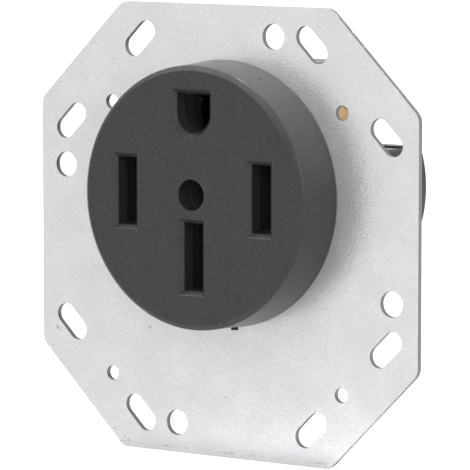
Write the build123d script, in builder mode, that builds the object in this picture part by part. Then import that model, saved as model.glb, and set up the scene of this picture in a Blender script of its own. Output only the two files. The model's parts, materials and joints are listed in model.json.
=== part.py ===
from build123d import *
from math import cos, hypot, radians, sin, tan
import os

os.makedirs("parts", exist_ok=True)

# Flush power socket for a four-wire plug: a round moulded face on a steel plate with cut corners,
# and a moulded body with four wiring lobes behind it.
# Millimetres. Seen from the front, +X is right and +Z is up; +Y points to the rear.
# The origin is the centre of the plate, on its rear face. A depth is a Y value.

# Mounting plate
plate_side = 100.0
plate_thickness = 1.3
plate_corner_cut = 22.4
plate_corner_radius = 3.5
gang_slot_inset = 8.1
gang_slot_spread = 19.1
gang_slot_length = 9.5
gang_slot_width = 4.8
box_hole_inset = 4.8
box_hole_diameter = 5.7
box_hole_turn = 73.5
cover_hole_pitch = 61.1
cover_hole_diameter = 3.3
cover_hole_drop = 3.03
key_notch_width = 1.9
key_notch_show = 0.7
key_angle = -84.8

# The face axis lies above the plate's centre, and the plug pattern's axis a little higher still
face_rise = 8.5
contact_rise = 0.75

# Front cover
cover_stand = 12.9
cover_base_radius = 29.3
cover_draft = 2.2
cover_edge_chamfer = 1.1
cover_base_edge = 0.2
cover_face_thickness = 4.5
cover_wall = 3.2

# Plug openings, each measured at the foot of its lead-in
blade_slot_width = 4.8
blade_slot_length = 14.75
ground_slot_width = 8.6
slot_lead_in = 1.05
centre_hole_diameter = 6.85
hot_radius = 17.7
ground_radius = 17.7
neutral_radius = 13.6

# Terminal body and back cover
body_radius = 29.0
body_flat = 27.7
body_rear = 32.4
body_core_radius = 18.0
body_corner_radius = 1.0
body_root_radius = 2.0
shoulder_lip = 0.9
shoulder_thickness = 3.0
back_cover_thickness = 4.0
back_cover_edge = 0.6
lobe_wall = 1.15
lobe_end_wall = 2.0
side_notch_depth = 5.6
boss_clearance = 0.4
plate_hole_clearance = 0.3
front_clearance = 0.2
key_clearance = 0.2
key_sink = 0.2

# Contacts and their back-up springs
leaf_thickness = 1.2
leaf_width = 13.4
leaf_spread = 2.6
leaf_throat = 1.35
leaf_mouth = 2.9
leaf_bend = 1.2
mouth_setback = 5.0
mouth_length = 4.5
lean_length = 7.0
straight_length = 6.5
spring_thickness = 0.8
strap_thickness = 0.8
spring_width = 4.4
spring_gap = 0.05
spring_clearance = 0.15
spring_tip_setback = 1.0
sleeve_radius = 4.4
sleeve_thickness = 0.9
sleeve_flare = 0.5
sleeve_slit_width = 1.0
sleeve_flare_length = 3.3
sleeve_slit_length = 13.0
ring_setback = 3.0
ring_width = 4.0
ring_opening = 1.8
ring_clearance = 0.25

# Wire terminals, behind the contacts
terminal_radius = 17.7
clamp_length = 11.5
clamp_width = 11.0
clamp_pocket = 9.0
clamp_seat = 1.5
clamp_clearance = 0.2
clamp_edge = 0.4
wire_bore = 7.5
wire_entry_radius = 4.0
wire_entry_lead_in = 0.8
tongue_width = 6.4
tongue_end_gap = 2.0
tongue_clearance = 0.2
pressure_plate_thickness = 0.9
pressure_plate_width = 6.8
pressure_plate_length = 8.0
pressure_plate_lip = 0.6
pressure_plate_travel = 0.75
terminal_screw_inset = 3.0
terminal_screw_radius = 2.3
thread_clearance = 0.05
terminal_head_radius = 4.75
terminal_head_height = 2.5
driver_slot_width = 1.2
driver_slot_depth = 1.3

# Assembly screws, centre screw and grounding strap
assembly_radius = 14.0
assembly_shank_radius = 1.6
assembly_bore_floor = 1.9
assembly_tip_gap = 0.5
assembly_head_radius = 2.9
assembly_head_height = 2.0
assembly_head_sink = 0.2
screw_clearance = 0.3
cover_post_radius = 3.0
cover_post_length = 5.8
centre_shank_radius = 1.7
centre_head_radius = 3.1
centre_head_height = 2.2
centre_seat = 4.0
nut_across_flats = 6.4
nut_height = 2.6
nut_clearance = 0.15
nut_sink = 0.4
strap_width = 4.6
strap_inset = 1.05
strap_clearance = 0.2

# Derived places
gang_slot_far = plate_side / 2 - gang_slot_inset
gang_slot_near = gang_slot_far - gang_slot_spread
box_hole_circle = plate_side - 2 * box_hole_inset
shoulder_radius = cover_base_radius + shoulder_lip
face_axis = face_rise
contact_axis = face_axis + contact_rise
face_front = -(plate_thickness + cover_stand)
cover_inside = face_front + cover_face_thickness
cover_edge_depth = face_front + cover_edge_chamfer
cover_edge_radius = cover_base_radius - (cover_stand - cover_edge_chamfer) * tan(radians(cover_draft))
cover_bore_radius = cover_base_radius - cover_wall
boss_radius = cover_bore_radius - boss_clearance
boss_front = cover_inside + front_clearance
plate_hole_radius = boss_radius + plate_hole_clearance
key_notch_end = cover_base_radius + key_notch_show
blade_half = blade_slot_length / 2
lobe_half = blade_half + lobe_wall
mouth_depth = cover_inside + mouth_setback
throat_depth = mouth_depth + mouth_length
straight_depth = throat_depth + lean_length
bridge_depth = straight_depth + straight_length
spring_tip_depth = throat_depth + spring_tip_setback
ring_depth = throat_depth + ring_setback
clamp_front = body_rear - clamp_pocket
terminal_screw_depth = body_rear - terminal_screw_inset
assembly_bore_end = face_front + assembly_bore_floor
assembly_tip = assembly_bore_end + assembly_tip_gap
strap_end = shoulder_radius - contact_rise - strap_inset
back_cover_rear = body_rear + back_cover_thickness
bridge_rear = bridge_depth + leaf_thickness / 2
bridge_front = bridge_depth - leaf_thickness / 2
carrier_rear = bridge_rear + max(spring_thickness, strap_thickness)
backing = leaf_thickness / 2 + spring_gap + spring_thickness / 2
spring_spread = leaf_spread + backing
spring_bend = leaf_bend + leaf_thickness / 2 + spring_thickness / 2
chamber_half = spring_spread + spring_thickness / 2 + spring_clearance
ring_bore = sleeve_radius + spring_gap
ring_radius = ring_bore + spring_thickness
ground_chamber = ring_radius + ring_clearance
clamp_rear = body_rear + clamp_seat
tongue_face = wire_bore / 2
tongue_end = clamp_rear - tongue_end_gap
tongue_half = tongue_width / 2
plate_back = tongue_face - pressure_plate_travel
screw_tip = plate_back
assembly_seat = back_cover_rear - assembly_head_sink - assembly_head_height
post_end = cover_inside + cover_post_length
nut_seat = back_cover_rear - nut_sink - nut_height
strap_rise = ground_radius + ground_chamber
channel_width = strap_width + 2 * strap_clearance
channel_end = strap_rise + strap_thickness + strap_clearance

RIGHT, TOP, LEFT, BOTTOM = 0, 90, 180, 270
LOBES = {"right": RIGHT, "ground": TOP, "left": LEFT, "neutral": BOTTOM}
FACE_LINE = Axis((0, 0, face_axis), (0, 1, 0))


def outward(angle):
    """Unit vector from the contact axis along a lobe."""
    return Vector(round(cos(radians(angle))), 0, round(sin(radians(angle))))


def across(angle):
    """Unit vector across a lobe, clockwise as seen from the front."""
    return Vector(round(sin(radians(angle))), 0, -round(cos(radians(angle))))


def lobe_point(angle, reach, aside, depth):
    """Point at a distance along and across one lobe."""
    return Vector(0, depth, contact_axis) + outward(angle) * reach + across(angle) * aside


def front_plane(depth, rise=0.0):
    """Plane facing the front, with local x right and local y up."""
    return Plane(origin=(0, depth, rise), x_dir=(1, 0, 0), z_dir=(0, -1, 0))


def lobe_plane(angle, depth, reach=0.0):
    """Plane facing the rear, with local x along a lobe and local y across it."""
    return Plane(origin=lobe_point(angle, reach, 0, depth), x_dir=outward(angle), z_dir=(0, 1, 0))


def side_plane(angle, reach, aside, depth):
    """Plane facing across a lobe, with local x along the lobe and local y to the front."""
    return Plane(origin=lobe_point(angle, reach, aside, depth), x_dir=outward(angle), z_dir=across(angle))


def bend_plane(origin, spread_dir):
    """Plane of a bent strip's section, with local x along the spread and local y to the rear."""
    return Plane(origin=origin, x_dir=spread_dir, z_dir=spread_dir.cross(Vector(0, 1, 0)))


def lobe_reach(angle):
    """Distance from the contact axis to the end of a lobe."""
    ends = {TOP: body_flat - contact_rise, BOTTOM: body_flat + contact_rise}
    return ends.get(angle, body_radius)


def save(builder, label):
    """Label a finished piece and write it."""
    builder.part.label = label
    export_step(builder.part, f"parts/{label}.step")


def mirrored(points):
    """A path from one tip to the middle, carried on to the matching tip."""
    return points + [(-x, y) for x, y in reversed(points)]


def body_outline():
    """Four lobes within a circle that has a flat above and below."""
    with BuildSketch() as outline:
        Rectangle(3 * body_radius, 2 * lobe_half)
        Rectangle(2 * lobe_half, 3 * body_radius)
        Circle(body_core_radius)
        with Locations((0, -contact_rise)):
            Circle(body_radius, mode=Mode.INTERSECT)
            Rectangle(2 * body_radius, 2 * body_flat, mode=Mode.INTERSECT)
        corners = outline.vertices()
        tips = [v for v in corners if hypot(v.X, v.Y) > body_core_radius + body_root_radius]
        roots = [v for v in corners if hypot(v.X, v.Y) <= body_core_radius + body_root_radius]
        fillet(tips, body_corner_radius)
        fillet(roots, body_root_radius)
    return outline.sketch


def assembly_places():
    """Places of the four assembly screws about the contact axis."""
    return PolarLocations(assembly_radius, 4, start_angle=45)


def leaf_path():
    """Middle line of a contact's two sprung leaves and the bridge between them."""
    mouth = (leaf_mouth, mouth_depth)
    throat = (leaf_throat, throat_depth)
    return mirrored([mouth, throat, (leaf_spread, straight_depth), (leaf_spread, bridge_depth)])


def spring_path():
    """Middle line of the clip that lies around the leaves."""
    lean = (leaf_spread - leaf_throat) / (straight_depth - throat_depth)
    slant = hypot(1, lean)
    tip = leaf_throat + lean * (spring_tip_depth - throat_depth) + backing * slant
    corner = straight_depth - backing * (slant - 1) / lean
    heel = bridge_rear + spring_thickness / 2
    return mirrored([(tip, spring_tip_depth), (spring_spread, corner), (spring_spread, heel)])


def bent_strip(path, thickness, bend):
    """A strip of one thickness along a path with rounded bends, inside a builder's sketch plane."""
    with BuildLine() as middle:
        FilletPolyline(*path, radius=bend)
    trace(middle.line, line_width=thickness)


def tongue(angle):
    """The flat tongue that runs from a contact's bridge into the wire clamp."""
    middle = leaf_thickness / 2 - tongue_face
    with BuildSketch(lobe_plane(angle, bridge_front, terminal_radius)) as section:
        with Locations((0, middle)):
            Rectangle(tongue_width, leaf_thickness)
    extrude(section.sketch, amount=tongue_end - bridge_front)


def foot(angle, start, end):
    """The part of the bridge that reaches out to the tongue."""
    with BuildSketch(lobe_plane(angle, bridge_front)) as section:
        with Locations(((start + end) / 2, -tongue_face / 2)):
            Rectangle(end - start, tongue_face)
    extrude(section.sketch, amount=leaf_thickness)


def clear_terminal_screw(angle):
    """Cut room for a terminal screw's shank inside a lobe and for its head beside the lobe."""
    with BuildSketch(side_plane(angle, terminal_radius, 0, terminal_screw_depth)) as shank_room:
        Circle(terminal_screw_radius + screw_clearance)
    extrude(shank_room.sketch, amount=lobe_half, mode=Mode.SUBTRACT)
    with BuildSketch(side_plane(angle, terminal_radius, lobe_half, terminal_screw_depth)) as head_room:
        Circle(terminal_head_radius + screw_clearance)
    extrude(head_room.sketch, amount=terminal_head_height + screw_clearance, mode=Mode.SUBTRACT)


def chambers(start, end):
    """Solids of the contact chambers, and of the grounding strap's channel, between two depths."""
    with BuildPart() as spaces:
        for side in (RIGHT, LEFT):
            with BuildSketch(lobe_plane(side, start, hot_radius)):
                Rectangle(2 * chamber_half, 2 * blade_half)
            extrude(amount=end - start)
        neutral_start = neutral_radius - blade_half
        neutral_end = max(neutral_radius + blade_half, terminal_radius + tongue_half + tongue_clearance)
        with BuildSketch(lobe_plane(BOTTOM, start, (neutral_start + neutral_end) / 2)):
            Rectangle(neutral_end - neutral_start, 2 * chamber_half)
        extrude(amount=end - start)
        with BuildSketch(lobe_plane(TOP, start, ground_radius)):
            Circle(ground_chamber)
        extrude(amount=end - start)
        with BuildSketch(lobe_plane(TOP, start, (ground_radius + channel_end) / 2)):
            Rectangle(channel_end - ground_radius, channel_width)
        extrude(amount=end - start)
    return spaces.solids()


def blade_contact(angle, spread_dir, reach):
    """A sprung female contact for a flat blade."""
    with BuildPart() as contact:
        with BuildSketch(bend_plane(lobe_point(angle, reach, 0, 0), spread_dir)):
            bent_strip(leaf_path(), leaf_thickness, leaf_bend)
        extrude(amount=leaf_width / 2, both=True)
        if reach != terminal_radius:
            foot(angle, terminal_radius - tongue_half, terminal_radius + tongue_half)
        tongue(angle)
    return contact


def spring_clip(angle, spread_dir, reach):
    """A steel clip that backs up both leaves of a contact."""
    with BuildPart() as clip:
        with BuildSketch(bend_plane(lobe_point(angle, reach, 0, 0), spread_dir)):
            bent_strip(spring_path(), spring_thickness, spring_bend)
        extrude(amount=spring_width / 2, both=True)
    return clip


# Mounting plate: cut corners, eight slanted slots for gang boxes, and three sets of round holes
with BuildPart() as mounting_plate:
    with BuildSketch(front_plane(0)) as plate_outline:
        Rectangle(plate_side, plate_side)
        chamfer(plate_outline.vertices(), plate_corner_cut)
        fillet(plate_outline.vertices(), plate_corner_radius)
        with Locations((0, face_axis)):
            Circle(plate_hole_radius, mode=Mode.SUBTRACT)
            with PolarLocations(key_notch_end / 2, 1, start_angle=key_angle):
                Rectangle(key_notch_end, key_notch_width, mode=Mode.SUBTRACT)
        for x_side in (-1, 1):
            for z_side in (-1, 1):
                near = (x_side * gang_slot_near, z_side * gang_slot_far)
                far = (x_side * gang_slot_far, z_side * gang_slot_near)
                with Locations(near, far):
                    SlotOverall(
                        gang_slot_length, gang_slot_width, rotation=-45 * x_side * z_side, mode=Mode.SUBTRACT
                    )
        with PolarLocations(box_hole_circle / 2, 4, start_angle=box_hole_turn):
            Circle(box_hole_diameter / 2, mode=Mode.SUBTRACT)
        with Locations((0, -cover_hole_drop)):
            with GridLocations(cover_hole_pitch, cover_hole_pitch, 2, 2):
                Circle(cover_hole_diameter / 2, mode=Mode.SUBTRACT)
    extrude(amount=plate_thickness)
save(mounting_plate, "mounting_plate")


# Front cover: a drafted cup with a bevelled rim, plug openings and four posts for the assembly screws
with BuildPart() as front_cover:
    with BuildSketch(Plane.XY.offset(face_axis)):
        with BuildLine():
            Polyline(
                (0, face_front),
                (cover_edge_radius - cover_edge_chamfer, face_front),
                (cover_edge_radius, cover_edge_depth),
                (cover_base_radius, -plate_thickness - cover_base_edge),
                (cover_base_radius - cover_base_edge, -plate_thickness),
                (cover_bore_radius, -plate_thickness),
                (cover_bore_radius, cover_inside),
                (0, cover_inside),
                close=True,
            )
        make_face()
    revolve(axis=FACE_LINE)

    with BuildSketch(front_plane(cover_inside, contact_axis)):
        with assembly_places():
            Circle(cover_post_radius)
    extrude(amount=-cover_post_length)

    with BuildSketch(front_plane(cover_inside, contact_axis)):
        with Locations((-hot_radius, 0), (hot_radius, 0), (0, -neutral_radius)):
            Rectangle(blade_slot_width, blade_slot_length)
        with Locations((0, ground_radius)):
            Circle(ground_slot_width / 2)
        with Locations((0, ground_radius + ground_slot_width / 4)):
            Rectangle(ground_slot_width, ground_slot_width / 2)
    extrude(amount=cover_face_thickness, mode=Mode.SUBTRACT)

    face = front_cover.faces().filter_by(Axis.Y).sort_by(Axis.Y)[0]
    lips = [edge for wire in face.inner_wires() for edge in wire.edges()]
    chamfer(lips, slot_lead_in)

    with BuildSketch(front_plane(cover_inside, contact_axis)):
        Circle(centre_hole_diameter / 2)
    extrude(amount=cover_face_thickness, mode=Mode.SUBTRACT)

    with BuildSketch(front_plane(post_end, contact_axis)):
        with assembly_places():
            Circle(assembly_shank_radius + thread_clearance)
    extrude(amount=post_end - assembly_bore_end, mode=Mode.SUBTRACT)
save(front_cover, "front_cover")


# Front insulator: a boss through the plate, a shoulder behind it and the key in the plate's notch
with BuildPart() as front_insulator:
    with BuildSketch(front_plane(shoulder_thickness, face_axis)):
        Circle(shoulder_radius)
    extrude(amount=shoulder_thickness)

    with BuildSketch(front_plane(0, face_axis)):
        Circle(boss_radius)
    extrude(amount=-boss_front)

    with BuildSketch(front_plane(0, face_axis)):
        with PolarLocations(key_notch_end / 2, 1, start_angle=key_angle):
            Rectangle(key_notch_end - 2 * key_clearance, key_notch_width - 2 * key_clearance)
    extrude(amount=plate_thickness - key_sink)

    for chamber in chambers(boss_front, shoulder_thickness):
        add(chamber, mode=Mode.SUBTRACT)

    # Groove for the grounding strap, between the shoulder and the plate
    groove_end = strap_end + strap_clearance
    with BuildSketch(lobe_plane(TOP, boss_front, (ground_radius + groove_end) / 2)):
        Rectangle(groove_end - ground_radius, channel_width)
    extrude(amount=strap_thickness - boss_front, mode=Mode.SUBTRACT)

    # Holes for the assembly screws, the cover's posts and the centre screw's head
    with BuildSketch(front_plane(shoulder_thickness, contact_axis)):
        with assembly_places():
            Circle(assembly_shank_radius + screw_clearance)
        Circle(centre_hole_diameter / 2)
    extrude(amount=shoulder_thickness - boss_front, mode=Mode.SUBTRACT)
    with BuildSketch(front_plane(post_end + front_clearance, contact_axis)):
        with assembly_places():
            Circle(cover_post_radius + screw_clearance)
    extrude(amount=post_end + front_clearance - boss_front, mode=Mode.SUBTRACT)
save(front_insulator, "front_insulator")


# Contact carrier: four open-ended chambers in a lobed block, and the centre screw's seat
with BuildPart() as contact_carrier:
    with BuildSketch(front_plane(carrier_rear, contact_axis)):
        add(body_outline())
    extrude(amount=carrier_rear - shoulder_thickness)

    for chamber in chambers(shoulder_thickness, carrier_rear):
        add(chamber, mode=Mode.SUBTRACT)

    with BuildSketch(front_plane(carrier_rear, contact_axis)):
        with assembly_places():
            Circle(assembly_shank_radius + screw_clearance)
        Circle(centre_shank_radius + screw_clearance)
    extrude(amount=carrier_rear - shoulder_thickness, mode=Mode.SUBTRACT)
    with BuildSketch(front_plane(centre_seat, contact_axis)):
        Circle(centre_hole_diameter / 2)
    extrude(amount=centre_seat - shoulder_thickness, mode=Mode.SUBTRACT)
save(contact_carrier, "contact_carrier")


# Terminal body: a floor under the contacts, and a clamp pocket in each lobe
with BuildPart() as terminal_body:
    with BuildSketch(front_plane(body_rear, contact_axis)):
        add(body_outline())
    extrude(amount=body_rear - carrier_rear)

    for side in LOBES.values():
        # Passage for the contact's tongue
        with BuildSketch(lobe_plane(side, carrier_rear, terminal_radius)):
            with Locations((0, leaf_thickness / 2 - tongue_face)):
                Rectangle(tongue_width + 2 * tongue_clearance, leaf_thickness + 2 * tongue_clearance)
        extrude(amount=clamp_front - carrier_rear, mode=Mode.SUBTRACT)

        # Pocket for the wire clamp, open to the rear
        with BuildSketch(lobe_plane(side, clamp_front, terminal_radius)):
            Rectangle(clamp_length + 2 * clamp_clearance, clamp_width + 2 * clamp_clearance)
        extrude(amount=body_rear - clamp_front, mode=Mode.SUBTRACT)

        # Windows across the lobe, with the end wall left standing
        window_start = terminal_radius - clamp_length / 2
        window_end = lobe_reach(side) - lobe_end_wall
        with BuildSketch(lobe_plane(side, body_rear - side_notch_depth, (window_start + window_end) / 2)):
            Rectangle(window_end - window_start, 3 * lobe_half)
        extrude(amount=side_notch_depth, mode=Mode.SUBTRACT)

        clear_terminal_screw(side)

    with BuildSketch(front_plane(body_rear, contact_axis)):
        with assembly_places():
            Circle(assembly_shank_radius + screw_clearance)
        Circle(centre_shank_radius + screw_clearance)
    extrude(amount=body_rear - carrier_rear, mode=Mode.SUBTRACT)
save(terminal_body, "terminal_body")


# Back cover: wire entries, seats for the clamps, and recesses for the screw heads and the nut
with BuildPart() as back_cover:
    with BuildSketch(front_plane(body_rear, contact_axis)):
        add(body_outline())
    extrude(amount=-back_cover_thickness)
    rear_rim = back_cover.faces().sort_by(Axis.Y)[-1].outer_wire().edges()
    chamfer(rear_rim, back_cover_edge)

    for side in LOBES.values():
        with BuildSketch(lobe_plane(side, body_rear, terminal_radius)):
            Rectangle(clamp_length + 2 * clamp_clearance, clamp_width + 2 * clamp_clearance)
        extrude(amount=clamp_seat, mode=Mode.SUBTRACT)
        with BuildSketch(lobe_plane(side, back_cover_rear, terminal_radius)):
            Circle(wire_entry_radius + wire_entry_lead_in)
        extrude(amount=-wire_entry_lead_in, taper=45, mode=Mode.SUBTRACT)
        with BuildSketch(lobe_plane(side, body_rear, terminal_radius)):
            Circle(wire_entry_radius)
        extrude(amount=back_cover_thickness, mode=Mode.SUBTRACT)
        clear_terminal_screw(side)

    with BuildSketch(front_plane(back_cover_rear, contact_axis)):
        with assembly_places():
            Circle(assembly_shank_radius + screw_clearance)
        Circle(centre_shank_radius + screw_clearance)
    extrude(amount=back_cover_thickness, mode=Mode.SUBTRACT)
    with BuildSketch(front_plane(back_cover_rear, contact_axis)):
        with assembly_places():
            Circle(assembly_head_radius + screw_clearance)
    extrude(amount=back_cover_rear - assembly_seat, mode=Mode.SUBTRACT)
    with BuildSketch(front_plane(back_cover_rear, contact_axis)):
        RegularPolygon(nut_across_flats / 2 + nut_clearance, 6, major_radius=False)
    extrude(amount=back_cover_rear - nut_seat, mode=Mode.SUBTRACT)
save(back_cover, "back_cover")


# Blade contacts and their clips: the side pair spread along the lobe, the neutral one across it
for name, side in LOBES.items():
    if side == TOP:
        continue
    spread = across(side) if side == BOTTOM else outward(side)
    blade_reach = neutral_radius if side == BOTTOM else hot_radius
    clip_reach = neutral_radius - leaf_width / 4 if side == BOTTOM else hot_radius
    save(blade_contact(side, spread, blade_reach), f"{name}_contact")
    save(spring_clip(side, spread, clip_reach), f"{name}_spring")


# Ground contact: a slit sleeve for a round pin, closed by a disc at its rear
with BuildPart() as ground_contact:
    with BuildSketch(bend_plane(lobe_point(TOP, ground_radius, 0, 0), Vector(1, 0, 0))):
        with BuildLine():
            Polyline(
                (0, bridge_rear),
                (sleeve_radius, bridge_rear),
                (sleeve_radius, mouth_depth + sleeve_flare_length),
                (sleeve_radius + sleeve_flare, mouth_depth),
                (sleeve_radius + sleeve_flare - sleeve_thickness, mouth_depth),
                (sleeve_radius - sleeve_thickness, mouth_depth + sleeve_flare_length),
                (sleeve_radius - sleeve_thickness, bridge_front),
                (0, bridge_front),
                close=True,
            )
        make_face()
    revolve(axis=Axis(lobe_point(TOP, ground_radius, 0, 0), (0, 1, 0)))
    with BuildSketch(lobe_plane(TOP, mouth_depth, ground_radius)):
        Rectangle(3 * sleeve_radius, sleeve_slit_width, rotation=45)
        Rectangle(3 * sleeve_radius, sleeve_slit_width, rotation=-45)
    extrude(amount=sleeve_slit_length, mode=Mode.SUBTRACT)
    tongue(TOP)
save(ground_contact, "ground_contact")


# Ring that backs up the ground contact's four fingers
with BuildPart() as ground_spring:
    with BuildSketch(lobe_plane(TOP, ring_depth, ground_radius)):
        Circle(ring_radius)
        Circle(ring_bore, mode=Mode.SUBTRACT)
        with Locations((-ring_radius, 0)):
            Rectangle(ring_radius, ring_opening, mode=Mode.SUBTRACT)
    extrude(amount=ring_width)
save(ground_spring, "ground_spring")


# Grounding strap: from under the ground contact, up the chamber wall and out behind the plate
with BuildPart() as ground_strap:
    strap_middle = strap_thickness / 2
    strap_path = [
        (-sleeve_radius, bridge_rear + strap_middle),
        (strap_rise + strap_middle - ground_radius, bridge_rear + strap_middle),
        (strap_rise + strap_middle - ground_radius, strap_middle),
        (strap_end - ground_radius, strap_middle),
    ]
    with BuildSketch(bend_plane(lobe_point(TOP, ground_radius, 0, 0), outward(TOP))):
        bent_strip(strap_path, strap_thickness, strap_middle + strap_clearance)
    extrude(amount=strap_width / 2, both=True)
save(ground_strap, "ground_strap")


# Wire terminals: a box clamp, a pressure plate inside it and a screw from the side
for name, side in LOBES.items():
    with BuildPart() as clamp:
        with BuildSketch(lobe_plane(side, clamp_front, terminal_radius)):
            RectangleRounded(clamp_length, clamp_width, clamp_edge)
            Rectangle(wire_bore, wire_bore, mode=Mode.SUBTRACT)
        extrude(amount=clamp_rear - clamp_front)
        with BuildSketch(side_plane(side, terminal_radius, 0, terminal_screw_depth)):
            Circle(terminal_screw_radius + thread_clearance)
        extrude(amount=clamp_width, mode=Mode.SUBTRACT)
    save(clamp, f"{name}_clamp")

    plate_origin = lobe_point(side, terminal_radius, plate_back, terminal_screw_depth)
    with BuildPart() as pressure_plate:
        with BuildSketch(bend_plane(plate_origin, across(side))):
            with Locations((-pressure_plate_thickness / 2, 0)):
                Rectangle(pressure_plate_thickness, pressure_plate_length)
            for end in (-1, 1):
                lip_middle = (pressure_plate_length - pressure_plate_thickness) / 2
                with Locations((pressure_plate_lip / 2, end * lip_middle)):
                    Rectangle(pressure_plate_lip, pressure_plate_thickness)
        extrude(amount=pressure_plate_width / 2, both=True)
    save(pressure_plate, f"{name}_pressure_plate")

    with BuildPart() as terminal_screw:
        with BuildSketch(side_plane(side, terminal_radius, screw_tip, terminal_screw_depth)):
            Circle(terminal_screw_radius)
        extrude(amount=lobe_half - screw_tip)
        with BuildSketch(side_plane(side, terminal_radius, lobe_half, terminal_screw_depth)):
            Circle(terminal_head_radius)
        extrude(amount=terminal_head_height)
        head_top = lobe_half + terminal_head_height
        with BuildSketch(side_plane(side, terminal_radius, head_top, terminal_screw_depth)):
            Rectangle(3 * terminal_head_radius, driver_slot_width, rotation=60)
        extrude(amount=-driver_slot_depth, mode=Mode.SUBTRACT)
    save(terminal_screw, f"{name}_terminal_screw")


# Four assembly screws from the rear into the cover's posts
with BuildPart() as assembly_screws:
    with BuildSketch(front_plane(assembly_seat, contact_axis)):
        with assembly_places():
            Circle(assembly_shank_radius)
    extrude(amount=assembly_seat - assembly_tip)
    with BuildSketch(front_plane(assembly_seat, contact_axis)):
        with assembly_places():
            Circle(assembly_head_radius)
    extrude(amount=-assembly_head_height)
    with BuildSketch(front_plane(assembly_seat + assembly_head_height, contact_axis)):
        with assembly_places():
            Rectangle(driver_slot_width, assembly_head_radius)
            Rectangle(assembly_head_radius, driver_slot_width)
    extrude(amount=driver_slot_depth, mode=Mode.SUBTRACT)
save(assembly_screws, "assembly_screws")


# Centre screw, deep in the centre hole, and its nut in the back cover
with BuildPart() as centre_screw:
    with BuildSketch(front_plane(centre_seat, contact_axis)):
        Circle(centre_head_radius)
    extrude(amount=centre_head_height)
    with BuildSketch(front_plane(centre_seat, contact_axis)):
        Circle(centre_shank_radius)
    extrude(amount=-(back_cover_rear - assembly_head_sink - centre_seat))
    with BuildSketch(front_plane(centre_seat - centre_head_height, contact_axis)):
        Rectangle(3 * centre_head_radius, driver_slot_width)
    extrude(amount=-driver_slot_depth, mode=Mode.SUBTRACT)
save(centre_screw, "centre_screw")

with BuildPart() as centre_nut:
    with BuildSketch(front_plane(nut_seat, contact_axis)):
        RegularPolygon(nut_across_flats / 2, 6, major_radius=False)
        Circle(centre_shank_radius + thread_clearance, mode=Mode.SUBTRACT)
    extrude(amount=-nut_height)
save(centre_nut, "centre_nut")
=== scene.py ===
import json
import math
from collections import namedtuple
import bpy
from mathutils import Matrix, Vector


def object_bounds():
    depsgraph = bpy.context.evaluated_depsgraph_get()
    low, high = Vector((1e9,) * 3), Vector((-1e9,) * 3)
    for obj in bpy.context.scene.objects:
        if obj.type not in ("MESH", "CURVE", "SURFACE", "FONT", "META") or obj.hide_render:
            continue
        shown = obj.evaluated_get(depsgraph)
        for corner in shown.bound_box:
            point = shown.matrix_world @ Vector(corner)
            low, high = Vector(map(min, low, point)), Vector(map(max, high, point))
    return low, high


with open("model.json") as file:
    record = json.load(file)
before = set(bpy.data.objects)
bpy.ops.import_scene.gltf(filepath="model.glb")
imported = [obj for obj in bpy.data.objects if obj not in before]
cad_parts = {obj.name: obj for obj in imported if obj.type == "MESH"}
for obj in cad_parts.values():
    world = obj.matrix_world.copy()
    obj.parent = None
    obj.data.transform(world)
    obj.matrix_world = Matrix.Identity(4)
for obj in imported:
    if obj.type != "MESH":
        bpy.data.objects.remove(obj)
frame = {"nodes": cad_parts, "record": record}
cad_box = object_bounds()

# A flush socket stands on the lower edge of its steel plate, seen from the right and a little above.
# The world is in metres: +X is right seen from the front, +Y is to the rear, +Z is up.
MM = 0.001

# Camera: where it stands, where it looks, its lens for a 36 mm wide frame, and its reach in metres
CAMERA_PLACE = Vector((478.2, -693.3, 91.9)) * MM
CAMERA_AIM = Vector((2.0, -0.2, -0.55)) * MM
CAMERA_LENS = 295.2
CAMERA_REACH = (0.01, 50.0)

# Studio: the floor's side in metres, its paint, the light added where it is seen, and the sky's light
FLOOR_SIDE = 12.0
FLOOR_GREY = 0.45
FLOOR_GLOW = 0.77
SKY_LIGHT = 1.20
WHITE = (1, 1, 1, 1)

# Lamps: places and sizes in metres, power in watts, and the angle in degrees that holds the light
Lamp = namedtuple("Lamp", "name place aim size power spread")
LAMPS = (
    Lamp("key", place=(-1.0, -0.7, 1.2), aim=(0, 0, 0), size=1.0, power=3.4, spread=180.0),
    Lamp("top", place=(0.03, -0.02, 1.3), aim=(0.012, 0.004, 0.03), size=0.04, power=0.052, spread=4.5),
    Lamp("fill", place=(1.4, -0.25, 0.45), aim=(0, 0, 0), size=0.8, power=9.0, spread=180.0),
)

# Places on the part, in millimetres. The face's axis lies above the origin. A band of radii round it
# parts the face's flat, where its openings are, from its rim, and another lies just outside the
# cover's foot, where a line of painted shade goes on the plate. The depths are bands too: where the
# openings' walls lose the face's speckles, where they are painted paler towards the back as painted
# light, just in front of the foot of the rim's bevel, and just behind the plate's front.
FACE_AXIS = 8.5
FLAT_TO_RIM = (27.4, 27.6)
SEAM_SHADE_BAND = (29.35, 29.5)
INSIDE_DEPTH = (-13.15, -12.6)
POCKET_LIGHT_DEPTH = (-13.1, -8.1)
RIM_DEPTH = (-13.3, -13.2)
PLATE_DEPTH = (-1.2, -1.1)

# Bands of a noise between which a colour and a roughness go from their first value to their second,
# and the band of tilt between a face across Y and a wall along it
COLOUR_BAND = (0.35, 0.65)
ROUGH_BAND = (0.3, 0.7)
EDGE_TILT = (0.4, 0.6)

# How many rays look for the other side of an edge that is rounded in its shading
EDGE_SAMPLES = 6

# A speckle covers a colour where its noise is high: size in millimetres, detail, where in the noise
# it starts and is full, and its share there. A relief is a noise with a height in millimetres.
Speckle = namedtuple("Speckle", "size detail start full share colour")
Relief = namedtuple("Relief", "size detail height")

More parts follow.
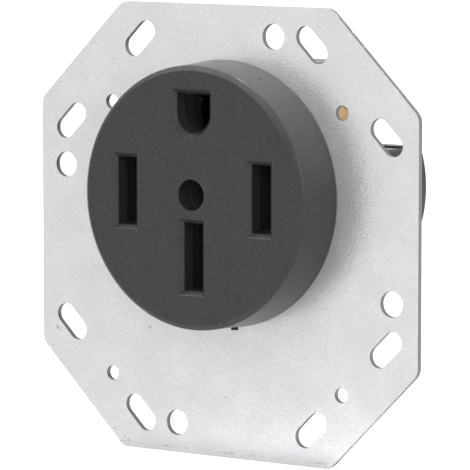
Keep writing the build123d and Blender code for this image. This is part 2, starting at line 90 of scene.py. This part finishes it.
# Moulding: a step forward is added to the normal of the rim's bevel, which makes it look rubbed
MOULDING_DEEP = (0.0210, 0.0211, 0.0214)
MOULDING_PALE = (0.0272, 0.0273, 0.0275)
MOULDING_INSIDE = (0.022, 0.022, 0.022)
# The colour deep in the openings is painted light: paler than the moulding, so that the walls there do not
# go black.
POCKET_PAINTED_LIGHT = (0.085, 0.085, 0.085)
MOULDING_SPECKLES = (
    Speckle(size=0.40, detail=3.0, start=0.45, full=0.70, share=0.55, colour=(0.056, 0.056, 0.056)),
    Speckle(size=0.9, detail=6.0, start=0.73, full=0.80, share=0.55, colour=(0.16, 0.16, 0.155)),
)
MOULDING_RELIEF = (Relief(16.0, 1.0, 0.03), Relief(1.4, 2.0, 0.004), Relief(0.25, 3.0, 0.005))
MOULDING_ROUGH = (0.27, 0.33)
MOULDING_EDGE = 0.5
BODY_GLOSS = 0.25
FACE_GLOSS = 0.34
RIM_FORWARD = 0.5
FLOW_SIZE = 11.0
FLOW_STRETCH = (1.0, 1.0, 2.5)

# Zinc-coated sheet: its finer reliefs use the noise of its first two speckles, so that height and
# colour agree. Shares say how far a mark covers the metal. The burrs' line is full within its first
# half width and gone beyond its second, and a band of noise breaks it.
ZINC_DEEP = (0.59, 0.60, 0.615)
ZINC_PALE = (0.655, 0.66, 0.665)
ZINC_SCUFF = (0.30, 0.30, 0.305)
# A thin line of painted shade on the plate just outside the cover's foot, where the two meet.
SEAM_PAINTED_SHADE = (0.12, 0.12, 0.12)
SHEARED_EDGE = (0.20, 0.197, 0.197)
ZINC_SPECKLES = (
    Speckle(size=1.3, detail=4.0, start=0.45, full=0.70, share=0.8, colour=(0.605, 0.615, 0.63)),
    Speckle(size=0.4, detail=3.0, start=0.48, full=0.72, share=0.7, colour=(0.50, 0.51, 0.52)),
    Speckle(size=0.8, detail=6.0, start=0.715, full=0.76, share=0.75, colour=(0.26, 0.255, 0.25)),
)
ZINC_RELIEF = (Relief(24.0, 1.0, 0.05), Relief(1.3, 4.0, 0.02), Relief(0.4, 3.0, 0.07))
ZINC_ROUGH = (0.16, 0.22)
ZINC_METALLIC = 0.48
ZINC_CLOUD = 8.0
ZINC_EDGE = 0.16
EDGE_ROUGHER = 0.3
SEAM_SHADE_SHARE = 0.6
SCUFF_SHARE = 0.8
BURR_SHARE = 0.5
BURR_LEVEL = -48.9
BURR_LINE = (0.125, 0.25)
BURR_BAND = (0.48, 0.62)
BURR_GRAIN = 1.0
BURR_STRETCH = (2.5, 1.0, 1.0)

# Small handling marks on the plate's front: right of the origin, above it, and size, in millimetres.
# A mark is full inside its core, a share of its size, and its outline moves in and out by the rag.
SCUFF_CORE = 0.4
SCUFF_GRAIN = 0.3
SCUFF_RAG = (-0.25, 0.35)
SCUFFS = (
    (-20.4, -22.5, 0.45),
    (-46.0, -24.4, 0.60),
    (-45.2, -24.8, 0.40),
    (-47.1, -28.7, 0.35),
    (-33.1, -42.8, 0.30),
    (-26.1, -44.7, 0.30),
    (-26.2, -48.5, 0.45),
    (-27.3, -47.8, 0.30),
    (-30.2, -46.0, 0.25),
    (0.3, -36.5, 0.40),
)

# Metals of the small pieces: a blend of two colours in clouds, and a drawn grain with its size,
# stretch and height, all in millimetres. Brass has darker streaks along its grain.
Metal = namedtuple("Metal", "pale deep rough")
Grain = namedtuple("Grain", "cloud detail size stretch rougher height")
BRASS_GRAIN = Grain(cloud=3.0, detail=4.0, size=0.2, stretch=(1.0, 12.0, 1.0), rougher=0.12, height=0.004)
STEEL_GRAIN = Grain(cloud=2.5, detail=3.0, size=0.18, stretch=(1.0, 9.0, 1.0), rougher=0.1, height=0.003)
STREAK_BAND = (0.5, 0.75)
STREAK_SHARE = 0.5
STREAK_DARKER = 0.7
# The contacts' brass is a darkened copy of the terminal brass: painted shade, for contacts that sit deep in
# the slots.
CONTACT_BRASS_SHADED = Metal(pale=(0.11, 0.095, 0.07), deep=(0.075, 0.065, 0.05), rough=0.42)
TERMINAL_BRASS = Metal(pale=(0.45, 0.305, 0.155), deep=(0.33, 0.21, 0.10), rough=0.3)
SPRING_STEEL = Metal(pale=(0.20, 0.20, 0.21), deep=(0.14, 0.14, 0.15), rough=0.36)
ZINC_STEEL = Metal(pale=(0.60, 0.61, 0.625), deep=(0.48, 0.49, 0.51), rough=0.26)

# Pieces whose openings are seen from the front
OPEN_PIECES = ("front_cover", "front_insulator")


def add_camera():
    """Puts the camera where the photograph was taken from."""
    data = bpy.data.cameras.new("camera")
    data.lens = CAMERA_LENS
    data.clip_start, data.clip_end = CAMERA_REACH
    camera = bpy.data.objects.new("camera", data)
    bpy.context.scene.collection.objects.link(camera)
    away = (CAMERA_PLACE - CAMERA_AIM).normalized()
    right = Vector((0, 0, 1)).cross(away).normalized()
    up = away.cross(right)
    turn = Matrix((right, up, away)).transposed().to_4x4()
    camera.matrix_world = Matrix.Translation(CAMERA_PLACE) @ turn
    bpy.context.scene.camera = camera


def add_softbox(lamp):
    """A square lamp that faces a point, its light held within an angle."""
    data = bpy.data.lights.new(lamp.name, "AREA")
    data.shape = "RECTANGLE"
    data.size = lamp.size
    data.size_y = lamp.size
    data.energy = lamp.power
    data.spread = math.radians(lamp.spread)
    softbox = bpy.data.objects.new(lamp.name, data)
    bpy.context.scene.collection.objects.link(softbox)
    place = Vector(lamp.place)
    turn = (place - Vector(lamp.aim)).to_track_quat("Z", "Y").to_matrix().to_4x4()
    softbox.matrix_world = Matrix.Translation(place) @ turn


def seen_directly(tree):
    """One for rays from the camera, in reflections and through glass, and zero for plain light."""
    path = tree.nodes.new("ShaderNodeLightPath")
    seen = path.outputs["Is Camera Ray"]
    for kind in ("Is Glossy Ray", "Is Transmission Ray"):
        either = tree.nodes.new("ShaderNodeMath")
        either.operation = "MAXIMUM"
        tree.links.new(seen, either.inputs[0])
        tree.links.new(path.outputs[kind], either.inputs[1])
        seen = either.outputs[0]
    return seen


def add_sky():
    """Plain white to the camera and in reflections, and a white of its own strength as light."""
    world = bpy.data.worlds.new("sky")
    bpy.context.scene.world = world
    world.use_nodes = True
    tree = world.node_tree
    tree.nodes.clear()
    light = tree.nodes.new("ShaderNodeBackground")
    light.inputs["Color"].default_value = WHITE
    light.inputs["Strength"].default_value = SKY_LIGHT
    white = tree.nodes.new("ShaderNodeBackground")
    white.inputs["Color"].default_value = WHITE
    white.inputs["Strength"].default_value = 1.0
    mix = tree.nodes.new("ShaderNodeMixShader")
    tree.links.new(seen_directly(tree), mix.inputs[0])
    tree.links.new(light.outputs[0], mix.inputs[1])
    tree.links.new(white.outputs[0], mix.inputs[2])
    out = tree.nodes.new("ShaderNodeOutputWorld")
    tree.links.new(mix.outputs[0], out.inputs[0])


def add_floor(level):
    """A grey floor that the camera sees as near white, apart from the shadow on it."""
    mesh = bpy.data.meshes.new("floor")
    half = FLOOR_SIDE / 2
    corners = [(-half, -half, level), (half, -half, level), (half, half, level), (-half, half, level)]
    mesh.from_pydata(corners, [], [(0, 1, 2, 3)])
    floor = bpy.data.objects.new("floor", mesh)
    bpy.context.scene.collection.objects.link(floor)
    material = bpy.data.materials.new("floor_paint")
    material.use_nodes = True
    tree = material.node_tree
    tree.nodes.clear()
    paint = tree.nodes.new("ShaderNodeBsdfDiffuse")
    paint.inputs["Color"].default_value = (FLOOR_GREY, FLOOR_GREY, FLOOR_GREY, 1)
    glow = tree.nodes.new("ShaderNodeEmission")
    glow.inputs["Color"].default_value = WHITE
    share = tree.nodes.new("ShaderNodeMath")
    share.operation = "MULTIPLY"
    share.inputs[1].default_value = FLOOR_GLOW
    tree.links.new(seen_directly(tree), share.inputs[0])
    tree.links.new(share.outputs[0], glow.inputs["Strength"])
    both = tree.nodes.new("ShaderNodeAddShader")
    tree.links.new(paint.outputs[0], both.inputs[0])
    tree.links.new(glow.outputs[0], both.inputs[1])
    out = tree.nodes.new("ShaderNodeOutputMaterial")
    tree.links.new(both.outputs[0], out.inputs[0])
    mesh.materials.append(material)


class Paint:
    """A material under construction: its tree, its shader and its place in the object."""

    def __init__(self, name):
        self.material = bpy.data.materials.new(name)
        self.material.use_nodes = True
        self.tree = self.material.node_tree
        self.shader = self.tree.nodes["Principled BSDF"]
        self.place = self.add("ShaderNodeTexCoord").outputs["Object"]

    def add(self, kind):
        return self.tree.nodes.new(kind)

    def link(self, source, target):
        self.tree.links.new(source, target)

    def noise(self, size, detail=2.0, stretch=(1, 1, 1)):
        """Soft noise whose features are about a size across, drawn out along an axis by a stretch."""
        moved = self.add("ShaderNodeMapping")
        moved.inputs["Scale"].default_value = tuple(1 / s for s in stretch)
        self.link(self.place, moved.inputs["Vector"])
        noise = self.add("ShaderNodeTexNoise")
        noise.inputs["Scale"].default_value = 1 / (size * MM)
        noise.inputs["Detail"].default_value = detail
        self.link(moved.outputs[0], noise.inputs["Vector"])
        return noise.outputs["Fac"]

    def span(self, value, low, high, to_low=0.0, to_high=1.0):
        """Maps a value from one range to another, held at both ends."""
        span = self.add("ShaderNodeMapRange")
        for name, number in (("From Min", low), ("From Max", high), ("To Min", to_low), ("To Max", to_high)):
            span.inputs[name].default_value = number
        self.link(value, span.inputs["Value"])
        return span.outputs["Result"]

    def span_mm(self, length, band, to_low=0.0, to_high=1.0):
        """Maps a length from a band in millimetres to a range, held at both ends."""
        return self.span(length, band[0] * MM, band[1] * MM, to_low, to_high)

    def math(self, kind, first, second=0.0):
        """A step of arithmetic on one or two values; the second may be a number."""
        step = self.add("ShaderNodeMath")
        step.operation = kind
        self.link(first, step.inputs[0])
        if isinstance(second, (int, float)):
            step.inputs[1].default_value = second
        else:
            self.link(second, step.inputs[1])
        return step.outputs[0]

    def blend(self, share, first, second):
        """A mix of two colours, each a tuple or another node's output."""
        mix = self.add("ShaderNodeMix")
        mix.data_type = "RGBA"
        self.link(share, mix.inputs["Factor"])
        for colour, socket in ((first, mix.inputs[6]), (second, mix.inputs[7])):
            if isinstance(colour, tuple):
                socket.default_value = (*colour, 1)
            else:
                self.link(colour, socket)
        return mix.outputs[2]

    def speckled(self, colour, speckles):
        """A colour with layers of speckles on it."""
        for speckle in speckles:
            noise = self.noise(speckle.size, speckle.detail)
            share = self.span(noise, speckle.start, speckle.full, 0.0, speckle.share)
            colour = self.blend(share, colour, speckle.colour)
        return colour

    def split(self, vector):
        """The X, Y and Z of a vector."""
        parts = self.add("ShaderNodeSeparateXYZ")
        self.link(vector, parts.inputs[0])
        return parts.outputs["X"], parts.outputs["Y"], parts.outputs["Z"]

    def distance(self, across, upward):
        """The length of two offsets at right angles."""
        square = self.math("ADD", self.math("POWER", across, 2.0), self.math("POWER", upward, 2.0))
        return self.math("SQRT", square)

    def face_place(self):
        """How far a point lies from the face's axis, and how far to the rear."""
        x, y, z = self.split(self.place)
        return self.distance(x, self.math("SUBTRACT", z, FACE_AXIS * MM)), y

    def inside_openings(self):
        """One on what lies behind the face's lead-ins within the rim, and zero outside."""
        radius, depth = self.face_place()
        near = self.span_mm(radius, FLAT_TO_RIM, 1.0, 0.0)
        deep = self.span_mm(depth, INSIDE_DEPTH)
        return self.math("MULTIPLY", near, deep)

    def on_plate_front(self):
        """One on the plate's front face, and zero behind it."""
        depth = self.split(self.place)[1]
        return self.span_mm(depth, PLATE_DEPTH, 1.0, 0.0)

    def marks(self, places):
        """One inside small ragged marks on the plate's front, and zero outside."""
        x, y, z = self.split(self.place)
        rag_low, rag_high = SCUFF_RAG
        ragged = self.span(self.noise(SCUFF_GRAIN), *ROUGH_BAND, rag_low * MM, rag_high * MM)
        total = None
        for right, above, size in places:
            reach = self.distance(self.math("SUBTRACT", x, right * MM), self.math("SUBTRACT", z, above * MM))
            mark = self.span_mm(self.math("ADD", reach, ragged), (SCUFF_CORE * size, size), 1.0, 0.0)
            total = mark if total is None else self.math("MAXIMUM", total, mark)
        return self.math("MULTIPLY", total, self.on_plate_front())

    def burr_line(self):
        """One on a broken thin line along X on the plate's front, and zero outside."""
        level = self.split(self.place)[2]
        off = self.math("ABSOLUTE", self.math("SUBTRACT", level, BURR_LEVEL * MM))
        line = self.span_mm(off, BURR_LINE, 1.0, 0.0)
        broken = self.span(self.noise(BURR_GRAIN, detail=3.0, stretch=BURR_STRETCH), *BURR_BAND)
        return self.math("MULTIPLY", self.math("MULTIPLY", line, broken), self.on_plate_front())

    def edge_share(self):
        """One on walls that run along Y, such as a sheet's cut edge, and zero on faces across Y."""
        normal = self.add("ShaderNodeTexCoord").outputs["Normal"]
        tilt = self.math("ABSOLUTE", self.split(normal)[1])
        return self.span(tilt, *EDGE_TILT, 1.0, 0.0)

    def soft_edges(self, radius):
        """The surface's normal, turned smoothly over each sharp edge."""
        bevel = self.add("ShaderNodeBevel")
        bevel.samples = EDGE_SAMPLES
        bevel.inputs["Radius"].default_value = radius * MM
        return bevel.outputs[0]

    def flatten_rim(self, normal):
        """Turns the rim's bevel part of the way to the face, as on an edge rubbed round."""
        radius, depth = self.face_place()
        outer = self.span_mm(radius, FLAT_TO_RIM)
        front = self.span_mm(depth, RIM_DEPTH, -RIM_FORWARD, 0.0)
        forward = self.add("ShaderNodeCombineXYZ")
        self.link(self.math("MULTIPLY", outer, front), forward.inputs["Y"])
        both = self.add("ShaderNodeVectorMath")
        both.operation = "ADD"
        self.link(normal, both.inputs[0])
        self.link(forward.outputs[0], both.inputs[1])
        unit = self.add("ShaderNodeVectorMath")
        unit.operation = "NORMALIZE"
        self.link(both.outputs[0], unit.inputs[0])
        return unit.outputs[0]

    def bumps(self, *layers, base=None):
        """Stacks height layers, each a value and its height in millimetres, onto the surface."""
        last = base
        for value, height in layers:
            bump = self.add("ShaderNodeBump")
            bump.inputs["Strength"].default_value = 1.0
            bump.inputs["Distance"].default_value = height * MM
            self.link(value, bump.inputs["Height"])
            if last is not None:
                self.link(last, bump.inputs["Normal"])
            last = bump.outputs[0]
        self.link(last, self.shader.inputs["Normal"])

    def relief(self, layers, base):
        """Stacks layers of noise onto the surface."""
        self.bumps(*((self.noise(layer.size, layer.detail), layer.height) for layer in layers), base=base)


def dark_moulding(name, hollow=False):
    """Dark grey thermoset with a fine moulded grain and faint flow marks; in the openings plain walls that
    are painted paler towards the back, as painted light.
    """
    paint = Paint(name)
    flow = paint.noise(FLOW_SIZE, detail=3.0, stretch=FLOW_STRETCH)
    colour = paint.blend(paint.span(flow, *COLOUR_BAND), MOULDING_DEEP, MOULDING_PALE)
    colour = paint.speckled(colour, MOULDING_SPECKLES)
    edges = paint.soft_edges(MOULDING_EDGE)
    if hollow:
        depth = paint.face_place()[1]
        # Painted light: the openings' walls turn paler towards the back.
        inside = paint.blend(paint.span_mm(depth, POCKET_LIGHT_DEPTH), MOULDING_INSIDE, POCKET_PAINTED_LIGHT)
        colour = paint.blend(paint.inside_openings(), colour, inside)
        edges = paint.flatten_rim(edges)
    paint.link(colour, paint.shader.inputs["Base Color"])
    paint.link(paint.span(flow, *ROUGH_BAND, *MOULDING_ROUGH), paint.shader.inputs["Roughness"])
    paint.shader.inputs["Specular IOR Level"].default_value = FACE_GLOSS if hollow else BODY_GLOSS
    paint.relief(MOULDING_RELIEF, edges)
    return paint.material


def galvanised_steel():
    """Zinc-coated sheet: spangle, grain, scuffs and burrs, a dull sheared edge, and a painted shade line at
    the cover's foot.
    """
    paint = Paint("galvanised_steel")
    cloud = paint.noise(ZINC_CLOUD, detail=5.0)
    metal = paint.blend(paint.span(cloud, *COLOUR_BAND), ZINC_DEEP, ZINC_PALE)
    metal = paint.speckled(metal, ZINC_SPECKLES)
    scuffs = paint.span(paint.marks(SCUFFS), 0.0, 1.0, 0.0, SCUFF_SHARE)
    metal = paint.blend(scuffs, metal, ZINC_SCUFF)
    burrs = paint.span(paint.burr_line(), 0.0, 1.0, 0.0, BURR_SHARE)
    metal = paint.blend(burrs, metal, ZINC_SCUFF)
    edge = paint.edge_share()
    metal = paint.blend(edge, metal, SHEARED_EDGE)
    # Painted shade: a dark line on the plate round the cover's foot.
    radius = paint.face_place()[0]
    metal = paint.blend(paint.span_mm(radius, SEAM_SHADE_BAND, SEAM_SHADE_SHARE, 0.0), metal, SEAM_PAINTED_SHADE)
    paint.link(metal, paint.shader.inputs["Base Color"])
    paint.shader.inputs["Metallic"].default_value = ZINC_METALLIC
    face_rough = paint.span(cloud, *ROUGH_BAND, *ZINC_ROUGH)
    edge_rough = paint.span(edge, 0.0, 1.0, 0.0, EDGE_ROUGHER)
    paint.link(paint.math("ADD", face_rough, edge_rough), paint.shader.inputs["Roughness"])
    paint.relief(ZINC_RELIEF, paint.soft_edges(ZINC_EDGE))
    return paint.material


def brass(name, metal):
    """Brass with a streaky grain and a light tarnish."""
    paint = Paint(name)
    tarnish = paint.noise(BRASS_GRAIN.cloud, BRASS_GRAIN.detail)
    grain = paint.noise(BRASS_GRAIN.size, stretch=BRASS_GRAIN.stretch)
    colour = paint.blend(paint.span(tarnish, *COLOUR_BAND), metal.pale, metal.deep)
    streak = tuple(STREAK_DARKER * part for part in metal.deep)
    colour = paint.blend(paint.span(grain, *STREAK_BAND, 0.0, STREAK_SHARE), colour, streak)
    paint.link(colour, paint.shader.inputs["Base Color"])
    paint.shader.inputs["Metallic"].default_value = 1.0
    rough = paint.span(tarnish, *ROUGH_BAND, metal.rough, metal.rough + BRASS_GRAIN.rougher)
    paint.link(rough, paint.shader.inputs["Roughness"])
    paint.bumps((grain, BRASS_GRAIN.height))
    return paint.material


def drawn_steel(name, metal):
    """Plated or tempered steel with a fine drawn grain."""
    paint = Paint(name)
    cloud = paint.noise(STEEL_GRAIN.cloud, STEEL_GRAIN.detail)
    grain = paint.noise(STEEL_GRAIN.size, stretch=STEEL_GRAIN.stretch)
    colour = paint.blend(paint.span(cloud, *COLOUR_BAND), metal.pale, metal.deep)
    paint.link(colour, paint.shader.inputs["Base Color"])
    paint.shader.inputs["Metallic"].default_value = 1.0
    rough = paint.span(grain, *ROUGH_BAND, metal.rough, metal.rough + STEEL_GRAIN.rougher)
    paint.link(rough, paint.shader.inputs["Roughness"])
    paint.bumps((grain, STEEL_GRAIN.height))
    return paint.material


def dress_nodes():
    """Gives every CAD node the finish of its slot."""
    finishes = {
        "dark_moulding": dark_moulding("dark_moulding"),
        "galvanised_steel": galvanised_steel(),
        # The contacts get the darkened brass, as painted shade.
        "contact_brass": brass("contact_brass", CONTACT_BRASS_SHADED),
        "terminal_brass": brass("terminal_brass", TERMINAL_BRASS),
        "spring_steel": drawn_steel("spring_steel", SPRING_STEEL),
        "zinc_steel": drawn_steel("zinc_steel", ZINC_STEEL),
    }
    open_finish = dark_moulding("front_moulding", hollow=True)
    slot_of = {part["node"]: part["material_slot"] for part in frame["record"]["subparts"]}
    for name, node in frame["nodes"].items():
        node.data.materials.clear()
        node.data.materials.append(open_finish if name in OPEN_PIECES else finishes[slot_of[name]])


add_camera()
add_sky()
add_floor(cad_box[0][2])
for lamp in LAMPS:
    add_softbox(lamp)
dress_nodes()

bpy.context.scene.view_settings.view_transform = "Standard"
